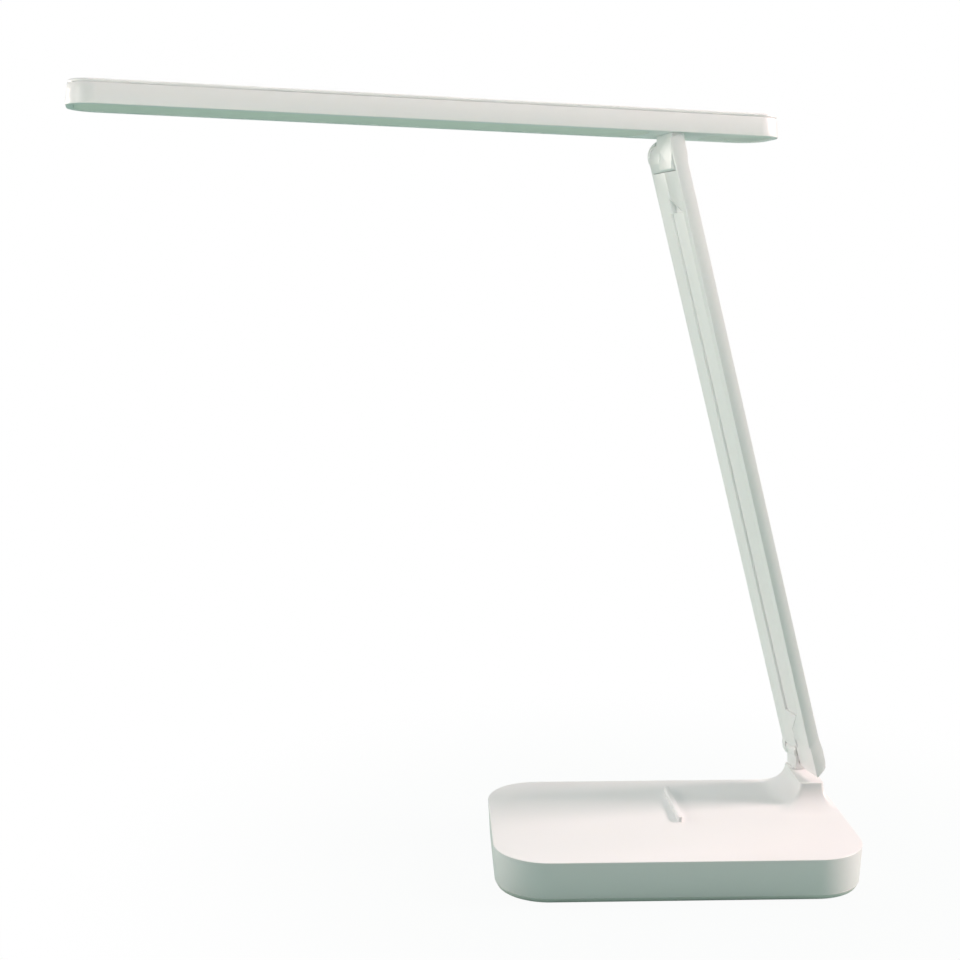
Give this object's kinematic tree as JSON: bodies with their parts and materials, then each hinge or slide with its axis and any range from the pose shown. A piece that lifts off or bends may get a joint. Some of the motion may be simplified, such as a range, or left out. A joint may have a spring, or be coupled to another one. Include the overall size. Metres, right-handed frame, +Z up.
{
  "type": "folding led desk lamp",
  "caption": "White desk lamp with a flat wireless-charging base, a swivelling and folding flat arm, and a long light bar on a tilt hinge with a touch panel",
  "frame": {"origin": "centre of the base's footprint, on the table surface", "axes": "+X to the pillar end of the base (right in the picture), +Y away from the base's front edge, +Z up"},
  "size_m": [0.3923, 0.119, 0.3991],
  "materials": {
    "white_satin": "satin white moulded ABS",
    "white_bottom": "fine-grained off-white ABS",
    "natural_plastic": "natural low-friction acetal",
    "opal_plastic": "opal frosted acrylic",
    "touch_white": "glossy white touch surface",
    "clear_lens": "translucent light guide",
    "white_board": "white solder mask on a thin board",
    "circuit_board": "green solder mask on glass-fibre board",
    "led_phosphor": "yellow phosphor in a clear body",
    "ferrite": "flexible black ferrite sheet",
    "grey_rubber": "soft mid-grey rubber",
    "copper": "enamelled copper winding",
    "brass": "machined brass",
    "steel": "zinc-plated steel"
  },
  "bodies": {
    "base": {"base_shell": "white_satin", "base_bottom": "white_bottom", "base_pad": "grey_rubber", "base_screws": "steel", "counterweight": "steel", "charging_coil": "copper", "coil_shield": "ferrite", "control_board": "circuit_board", "board_screws": "steel", "usb_c_socket": "steel", "swivel_bush": "natural_plastic"},
    "neck": {"swivel_neck": "white_satin", "swivel_washer": "steel", "swivel_nut": "brass"},
    "arm": {"arm_near_half": "white_satin", "arm_far_half": "white_satin", "arm_spine": "steel", "arm_cable": "grey_rubber", "arm_screws": "steel", "lower_hinge_pin": "steel", "lower_washers": "brass", "upper_hinge_pin": "steel", "upper_washers": "brass"},
    "head": {"head_bracket": "white_satin", "bracket_screws": "steel", "head_body": "white_satin", "head_cover": "white_satin", "diffuser": "opal_plastic", "reflector": "white_satin", "led_board": "white_board", "led_chips": "led_phosphor", "touch_panel": "touch_white", "touch_board": "circuit_board", "indicator_lens": "clear_lens"}
  },
  "joints": [
    {"name": "swivel", "type": "hinge", "parent": "base", "child": "neck", "pos_m": [0.0807, 0.0467, 0.0335], "axis": [0, 0, 1], "range_deg": [-57, 33]},
    {"name": "arm_fold", "type": "hinge", "parent": "neck", "child": "arm", "pos_m": [0.08244, 0.03838, 0.044], "axis": [0.2045, -0.9789, 0], "range_deg": [-30, 70]},
    {"name": "head_tilt", "type": "hinge", "parent": "arm", "child": "head", "pos_m": [-0.00327, 0.02047, 0.37077], "axis": [0.2045, -0.9789, 0], "range_deg": [-40, 106]}
  ]
}
